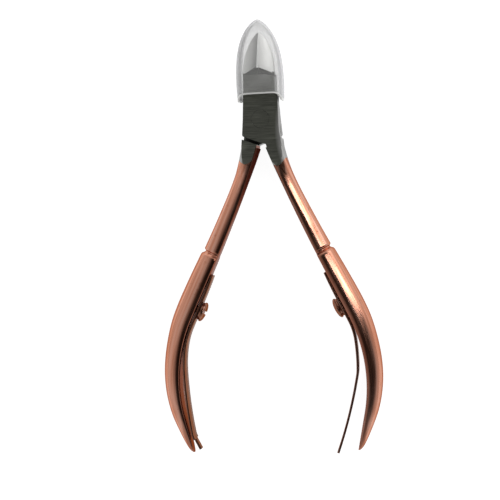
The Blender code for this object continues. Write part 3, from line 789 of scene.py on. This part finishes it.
def cover_skin():
    """The outside of the cap, from its mouth to its tip, with its lip marked."""
    work = bmesh.new()
    lip = work.verts.layers.float.new("lip")
    rows = []
    length = COVER_TIP - COVER_MOUTH
    steps = 48
    stations = [0.996 * math.sin(math.radians(90 * i / steps)) ** 0.9 for i in range(steps + 1)]
    stations[1:1] = [part * COVER_LIP / length for part in (0.4, 0.7, 1.0)]
    tip_half_width, tip_depth = COVER_TIP_SIZE
    tip_rise, rise_power = COVER_TIP_RISE
    for t in stations:
        taper = (1 - t ** COVER_WIDTH_TAPER[0]) ** COVER_WIDTH_TAPER[1]
        flare = COVER_MOUTH_WIDTH + (1 - COVER_MOUTH_WIDTH) * min(1.0, t * 6)
        half_width = COVER_HALF_WIDTH * flare * taper + tip_half_width
        taper = (1 - t ** COVER_DEPTH_TAPER[0]) ** COVER_DEPTH_TAPER[1]
        depth = (COVER_DEPTH - tip_depth) * taper + tip_depth
        centre = COVER_BASE + COVER_DEPTH / 2 + tip_rise * t ** rise_power
        centre = min(centre, COVER_BASE + COVER_DEPTH - depth / 2)
        drop = COVER_MOUTH_DROP * max(0.0, 1 - t / COVER_MOUTH_SHARE)
        ring = cover_ring(half_width, depth, centre, COVER_MOUTH + length * t, drop)
        rows.append([work.verts.new(point) for point in ring])
        for vertex in rows[-1]:
            vertex[lip] = 1.0 if t * length < 0.8 * COVER_LIP else 0.0
    for near, far in zip(rows, rows[1:]):
        for i in range(len(near)):
            j = (i + 1) % len(near)
            work.faces.new((near[i], near[j], far[j], far[i]))
    work.faces.new(rows[-1])
    return close_work("cover", work)


def make_cover(material):
    """The soft cap: a moulded skin with a wall of its own and a rounded rim."""
    cover = add_object("jaw_cover", cover_skin())
    wall = cover.modifiers.new("wall", "SOLIDIFY")
    wall.thickness = COVER_WALL * MM
    wall.offset = -1.0
    rim = cover.modifiers.new("rim", "BEVEL")
    rim.width = COVER_RIM * MM
    rim.segments = 2
    rim.limit_method = "ANGLE"
    rim.angle_limit = math.radians(60)
    shade(cover, 60)
    cover.data.materials.append(material)
    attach(cover, "cover")
    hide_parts("tip_cover")


# Materials

class Recipe:
    """A material under construction: a Principled shader and short ways to feed it."""

    def __init__(self, name):
        self.material = bpy.data.materials.new(name)
        self.material.use_nodes = True
        self.tree = self.material.node_tree
        self.shader = self.tree.nodes["Principled BSDF"]

    def node(self, kind, **inputs):
        node = self.tree.nodes.new(kind)
        for key, value in inputs.items():
            self.feed(node, key.replace("_", " "), value)
        return node

    def feed(self, node, socket, value):
        """Sets an input, or links it to an output socket."""
        if isinstance(value, bpy.types.NodeSocket):
            self.tree.links.new(value, node.inputs[socket])
        else:
            node.inputs[socket].default_value = value

    def attribute(self, name):
        node = self.node("ShaderNodeAttribute")
        node.attribute_name = name
        return node

    def coordinates(self, scale, attribute=None):
        """Positions in millimetres, stretched by scale along each axis: the object's own, or
        those of a stored attribute."""
        if attribute:
            vector = self.attribute(attribute).outputs["Vector"]
        else:
            vector = self.node("ShaderNodeTexCoord").outputs["Object"]
            scale = tuple(value / MM for value in scale)
        return self.node("ShaderNodeMapping", Vector=vector, Scale=scale).outputs["Vector"]

    def axes(self, vector):
        return self.node("ShaderNodeSeparateXYZ", Vector=vector).outputs

    def noise(self, vector, detail):
        node = self.node("ShaderNodeTexNoise", Vector=vector, Scale=1.0, Detail=detail)
        return node.outputs["Fac"]

    def spread(self, value, low, high, to_low=0.0, to_high=1.0):
        """Stretches the range from low to high over another one, and stays inside it."""
        node = self.node("ShaderNodeMapRange", Value=value)
        limits = {"From Min": low, "From Max": high, "To Min": to_low, "To Max": to_high}
        for socket, number in limits.items():
            node.inputs[socket].default_value = number
        return node.outputs["Result"]

    def ramp(self, value, stops):
        node = self.node("ShaderNodeValToRGB", Fac=value)
        elements = node.color_ramp.elements
        while len(elements) < len(stops):
            elements.new(0.5)
        for element, (position, colour) in zip(elements, stops):
            element.position = position
            element.color = (*colour, 1.0)
        return node.outputs["Color"]

    def mix(self, factor, first, second):
        node = self.tree.nodes.new("ShaderNodeMix")
        node.data_type = "RGBA"
        self.feed(node, 0, factor)
        self.feed(node, 6, first)
        self.feed(node, 7, second)
        return node.outputs[2]

    def openness(self, distance, own_only=False):
        """How open a point is: less near other faces within a distance, of its own piece only
        or of any piece."""
        node = self.node("ShaderNodeAmbientOcclusion", Distance=distance * MM)
        node.samples = 8
        node.only_local = own_only
        return node.outputs["AO"]

    def reckon(self, operation, *values):
        """Arithmetic on values and output sockets."""
        node = self.tree.nodes.new("ShaderNodeMath")
        node.operation = operation
        for socket, value in enumerate(values):
            self.feed(node, socket, value)
        return node.outputs["Value"]

    def bump(self, height, strength, distance):
        node = self.node("ShaderNodeBump", Height=height, Strength=strength, Distance=distance * MM)
        self.feed(self.shader, "Normal", node.outputs["Normal"])

    def set(self, **inputs):
        for key, value in inputs.items():
            self.feed(self.shader, key.replace("_", " "), value)
        return self.material


def rose_gold(name, attribute, streaks, crease_shade=0.0, brightness=1.0, gloss=(0.12, 0.24),
              edge_tint=(0.46, 0.3, 0.26)):
    """Polished rose gold plating: long streaks along the metal, fine scratches, small dull spots,
    painted shade in the inner corners, and on a handle a band of painted shade along its inner face
    that stands for a dark reflection, darkest near the crook, where the plating is also duller. A
    brightness below one dims the whole colour, as painted shade."""
    recipe = Recipe(name)
    long_streaks = recipe.noise(recipe.coordinates(streaks, attribute), 4.0)
    fine_scale = tuple(3.5 * value for value in streaks)
    fine_streaks = recipe.noise(recipe.coordinates(fine_scale, attribute), 2.0)
    tones = ((0.3, (0.50, 0.205, 0.125)), (0.5, (0.60, 0.275, 0.185)), (0.72, (0.68, 0.37, 0.28)))
    # The brightness factor dims the whole plating; below one it is painted shade
    colour = recipe.ramp(long_streaks, [(stop, tuple(brightness * part for part in tone))
                                        for stop, tone in tones])
    spots = recipe.noise(recipe.coordinates((0.5, 0.5, 0.5), attribute), 6.0)
    colour = recipe.mix(recipe.spread(spots, 0.62, 0.75), colour, (0.42, 0.17, 0.10, 1.0))
    if crease_shade:
        flow = recipe.axes(recipe.attribute(attribute).outputs["Vector"])
        wander = recipe.spread(long_streaks, 0.3, 0.7, -0.35, 0.35)
        # Painted shade: a dark band along the handle's inner face, standing for the dark reflection
        # seen there
        inner_face_shade = recipe.spread(recipe.reckon("ADD", flow["Y"], wander), 0.3, 1.7, crease_shade, 0.0)
        colour = recipe.mix(inner_face_shade, colour, (0.12, 0.028, 0.016, 1.0))
        # Painted shade in the crook: darkest on the inner wall near the head, where the lap shades it;
        # the same mask also dulls the plating there
        on_wall = recipe.spread(flow["Y"], 0.02, 0.3, 0.9, 0.0)
        near_crook = recipe.spread(flow["X"], 8.0, 24.0, 1.0, 0.0)
        crook_shade_and_dullness = recipe.reckon("MULTIPLY", on_wall, near_crook)
        colour = recipe.mix(crook_shade_and_dullness, colour, (0.06, 0.014, 0.008, 1.0))
    # Painted shade in the inner corners: darker where other faces of the same piece are near
    corner_unshaded = recipe.spread(recipe.openness(0.9, own_only=True), 0.3, 0.75)
    colour = recipe.mix(corner_unshaded, (0.06, 0.016, 0.01, 1.0), colour)
    recipe.bump(fine_streaks, 0.25, 0.02)
    roughness = recipe.spread(fine_streaks, 0.3, 0.7, *gloss)
    if crease_shade:
        roughness = recipe.reckon("MAXIMUM", roughness, recipe.reckon("MULTIPLY", crook_shade_and_dullness, 0.85))
    return recipe.set(Base_Color=colour, Roughness=roughness, Metallic=1.0,
                      Specular_Tint=(*edge_tint, 1.0))


def jaw_light_and_shade(recipe, polished, x, y):
    """Paints light and shade on the jaws' polished bevels: the left one is painted darker from its
    shoulder to its edge, and the right one is painted bright. Returns where the jaws are, too."""
    heel = PIVOT_Y + JAW_HEEL
    past_heel = recipe.reckon("MULTIPLY_ADD", recipe.reckon("ABSOLUTE", x), JAW_SWEEP, y)
    on_jaw = recipe.spread(past_heel, heel - JAW_HEEL_FADE, heel)
    lean = recipe.reckon("MULTIPLY_ADD", y, -JAW_SKEW, JAW_SKEW * (PIVOT_Y + JAW_MIDDLE))
    across = recipe.spread(recipe.reckon("ADD", x, lean), -NECK_HALF_WIDTH, NECK_HALF_WIDTH)
    # Painted shade on the left bevel, darkening towards the edge, and a painted highlight on the right
    # bevel
    painted_bevel_light = recipe.ramp(across, ((0.05, (0.8, 0.8, 0.78)), (0.4, (0.5, 0.5, 0.49)),
                                  (0.49, (0.46, 0.46, 0.45)), (0.51, (0.95, 0.95, 0.93))))
    return recipe.mix(on_jaw, polished, painted_bevel_light), on_jaw


def roll_over_highlight(recipe, x, y, normal_z):
    """How far a ground face is painted paler towards its half's outer side, a painted highlight
    standing for the edge's roll; that side is at +X on the front and at -X on the back."""
    out = recipe.reckon("MULTIPLY", x, normal_z)
    from_middle = recipe.reckon("ADD", y, -ROLL_HIGHLIGHT_MIDDLE - PIVOT_Y)
    square = recipe.reckon("MULTIPLY", from_middle, from_middle)
    start = recipe.reckon("MULTIPLY_ADD", square, ROLL_HIGHLIGHT_CURVE, ROLL_HIGHLIGHT_START)
    return recipe.spread(recipe.reckon("SUBTRACT", out, start), 0.0, ROLL_HIGHLIGHT_WIDTH)


def ground_steel():
    """Dark stainless steel: front and back ground dull with fine lines across the head, with a painted
    highlight where they roll over towards the outer side, sides polished, painted light and shade on
    the jaws' bevels, and painted shade in the corners."""
    recipe = Recipe("ground_steel_look")
    lines = recipe.noise(recipe.coordinates((0.22, 9.0, 9.0)), 4.0)
    broad = recipe.noise(recipe.coordinates((0.12, 0.5, 0.3)), 3.0)
    normal = recipe.axes(recipe.node("ShaderNodeNewGeometry").outputs["Normal"])
    spot = recipe.axes(recipe.coordinates((1.0, 1.0, 1.0)))
    ground = recipe.ramp(broad, ((0.35, (0.115, 0.12, 0.1)), (0.55, (0.138, 0.144, 0.12)),
                                 (0.75, (0.168, 0.175, 0.145))))
    bright_lines = recipe.spread(lines, 0.4, 0.62, 0.0, 0.75)
    ground = recipe.mix(bright_lines, ground, (0.245, 0.252, 0.213, 1.0))
    # Painted highlight: the ground faces turn paler towards the outer side, standing for the light
    # that a rolled edge would catch
    roll_highlight = roll_over_highlight(recipe, spot["X"], spot["Y"], normal["Z"])
    ground = recipe.mix(roll_highlight, ground, (0.5, 0.5, 0.48, 1.0))
    polished = recipe.ramp(broad, ((0.3, (0.36, 0.36, 0.35)), (0.7, (0.43, 0.43, 0.42))))
    # The jaws' bevels take painted light and shade: darker on the left, bright on the right
    polished, on_jaw = jaw_light_and_shade(recipe, polished, spot["X"], spot["Y"])
    flatness = recipe.spread(recipe.reckon("ABSOLUTE", normal["Z"]), 0.93, 0.985)
    colour = recipe.mix(flatness, polished, ground)
    # Painted shade in the corners and gaps, such as under the jaws' heel, left off the jaws
    corner_unshaded = recipe.reckon("MAXIMUM", recipe.spread(recipe.openness(1.2), 0.35, 0.95), on_jaw)
    colour = recipe.mix(corner_unshaded, (0.02, 0.02, 0.018, 1.0), colour)
    roughness = recipe.spread(lines, 0.3, 0.7, 0.28, 0.42)
    recipe.bump(lines, 0.3, 0.02)
    return recipe.set(Base_Color=colour, Roughness=roughness, Metallic=1.0,
                      Specular_Tint=(0.6, 0.6, 0.6, 1.0))


def vinyl():
    """Soft translucent vinyl: milky, a little cloudy, denser and greyer seen edge on, with a
    whiter lip."""
    recipe = Recipe("vinyl_look")
    clouds = recipe.noise(recipe.coordinates((0.35, 0.2, 0.35)), 3.0)
    facing = recipe.node("ShaderNodeLayerWeight", Blend=0.5).outputs["Facing"]
    lip = recipe.attribute("lip").outputs["Fac"]
    colour = recipe.ramp(facing, ((0.0, (0.66, 0.66, 0.65)), (0.6, (0.6, 0.6, 0.615)),
                                  (0.85, (0.42, 0.42, 0.44)), (0.97, (0.14, 0.14, 0.15))))
    colour = recipe.mix(recipe.spread(clouds, 0.35, 0.7, 0.0, 0.25), colour, (0.8, 0.8, 0.79, 1.0))
    colour = recipe.mix(lip, colour, (0.8, 0.8, 0.78, 1.0))
    alpha = recipe.spread(facing, 0.1, 0.9, 0.18, 0.85)
    alpha = recipe.reckon("MAXIMUM", alpha, recipe.spread(lip, 0.0, 1.0, 0.0, 0.8))
    recipe.bump(clouds, 0.15, 0.1)
    return recipe.set(Base_Color=colour, Roughness=0.2, IOR=1.45, Alpha=alpha)


# Room and camera

def make_floor():
    """A plain white floor that glows a little, so that it shows nearly no shadow."""
    work = bmesh.new()
    bmesh.ops.create_grid(work, x_segments=1, y_segments=1, size=1.5)
    floor = add_object("floor", close_work("floor", work))
    floor.location.z = -0.05 * MM
    recipe = Recipe("floor_look")
    grain = recipe.noise(recipe.coordinates((0.02, 0.02, 0.02)), 2.0)
    colour = recipe.ramp(grain, ((0.0, (0.3, 0.3, 0.3)), (1.0, (0.34, 0.34, 0.34))))
    material = recipe.set(Base_Color=colour, Roughness=0.9, Emission_Color=(1.0, 1.0, 1.0, 1.0),
                          Emission_Strength=0.92)
    floor.data.materials.append(material)


def make_world():
    """A light tent: bright all round, brightest at its glow, and dark overhead, where the
    tent's opening is."""
    world = bpy.data.worlds.new("studio")
    bpy.context.scene.world = world
    world.use_nodes = True
    tree = world.node_tree
    background = tree.nodes["Background"]
    coordinates = tree.nodes.new("ShaderNodeTexCoord")

    def reading(direction, stops):
        """Brightness by the cosine of the angle from a direction."""
        dot = tree.nodes.new("ShaderNodeVectorMath")
        dot.operation = "DOT_PRODUCT"
        dot.inputs[1].default_value = direction
        tree.links.new(coordinates.outputs["Generated"], dot.inputs[0])
        spread = tree.nodes.new("ShaderNodeMapRange")
        spread.inputs["From Min"].default_value = -1.0
        tree.links.new(dot.outputs["Value"], spread.inputs["Value"])
        ramp = tree.nodes.new("ShaderNodeValToRGB")
        elements = ramp.color_ramp.elements
        while len(elements) < len(stops):
            elements.new(0.5)
        for element, (position, level) in zip(elements, stops):
            element.position = (position + 1) / 2
            element.color = (level, level, level, 1.0)
        tree.links.new(spread.outputs["Result"], ramp.inputs["Fac"])
        return ramp.outputs["Color"]

    overhead = math.radians(OPENING_LEAN)
    opening = reading((math.sin(overhead), 0.0, math.cos(overhead)), OPENING_LEVELS)
    glow = reading(tuple(Vector(GLOW_DIRECTION).normalized()), GLOW_LEVELS)
    product = tree.nodes.new("ShaderNodeVectorMath")
    product.operation = "MULTIPLY"
    tree.links.new(opening, product.inputs[0])
    tree.links.new(glow, product.inputs[1])
    tree.links.new(product.outputs["Vector"], background.inputs["Color"])
    background.inputs["Strength"].default_value = 1.0


def make_light():
    """A soft box on the right that faces the tool's middle."""
    light = bpy.data.lights.new("right_box", "AREA")
    light.shape = "RECTANGLE"
    light.size = BOX_WIDTH * MM
    light.size_y = BOX_HEIGHT * MM
    light.energy = BOX_RADIANCE * math.pi * light.size * light.size_y
    box = add_object("right_box", light)
    towards = Vector(BOX_DIRECTION).normalized()
    box.location = towards * BOX_DISTANCE * MM
    box.rotation_mode = "QUATERNION"
    box.rotation_quaternion = towards.to_track_quat("Z", "Y")


def make_camera():
    lean, pitch, roll = (math.radians(value) for value in (VIEW_LEAN, VIEW_PITCH, VIEW_ROLL))
    level = math.cos(pitch)
    back = Vector((math.sin(lean) * level, -math.sin(pitch), math.cos(lean) * level))
    up = Vector((0.0, 1.0, 0.0))
    up = (up - back * up.dot(back)).normalized()
    right = up.cross(back)
    across = right * math.cos(roll) + up * math.sin(roll)
    upright = -right * math.sin(roll) + up * math.cos(roll)
    camera_data = bpy.data.cameras.new("camera")
    camera = add_object("camera", camera_data)
    rotation = Matrix((across, upright, back)).transposed().to_4x4()
    centre = Vector((*VIEW_CENTRE, MIDDLE)) * MM
    camera.matrix_world = Matrix.Translation(centre + back * VIEW_DISTANCE * MM) @ rotation
    camera_data.sensor_width = SENSOR_WIDTH
    camera_data.lens = SENSOR_WIDTH * VIEW_DISTANCE / VIEW_WIDTH
    camera_data.clip_start = 0.01
    bpy.context.scene.camera = camera


# Assembly

handle_plate = rose_gold("handle_plate_look", "flow", (0.05, 1.4, 1.4), crease_shade=0.6)
# The springs and screws take a darker copy of the plating: painted shade for the dark reflections they
# show
spring_plate = rose_gold("spring_plate_look", None, (0.5, 0.12, 1.5), brightness=0.45,
                         gloss=(0.16, 0.3), edge_tint=(0.55, 0.42, 0.36))
screw_plate = rose_gold("screw_plate_look", None, (1.2, 1.2, 0.5), brightness=0.45,
                        gloss=(0.08, 0.16), edge_tint=(0.5, 0.32, 0.26))
steel = ground_steel()

for body, side, run_out in (("front_half", 1, RIGHT_RUN_OUT), ("rear_half", -1, LEFT_RUN_OUT)):
    make_half(body, side, run_out, steel, handle_plate)

for hand, side, runs, body in (("left", -1, LEFT_SPRING_RUNS, "rear_half"),
                               ("right", 1, RIGHT_SPRING_RUNS, "front_half")):
    make_spring(hand, side, runs, spring_plate)
    make_screw(hand, side, body, screw_plate)

make_cover(vinyl())

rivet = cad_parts["pivot_rivet"]
rivet.data.materials.clear()
rivet.data.materials.append(steel)

make_floor()
make_world()
make_light()
make_camera()
bpy.context.scene.view_settings.view_transform = "Standard"
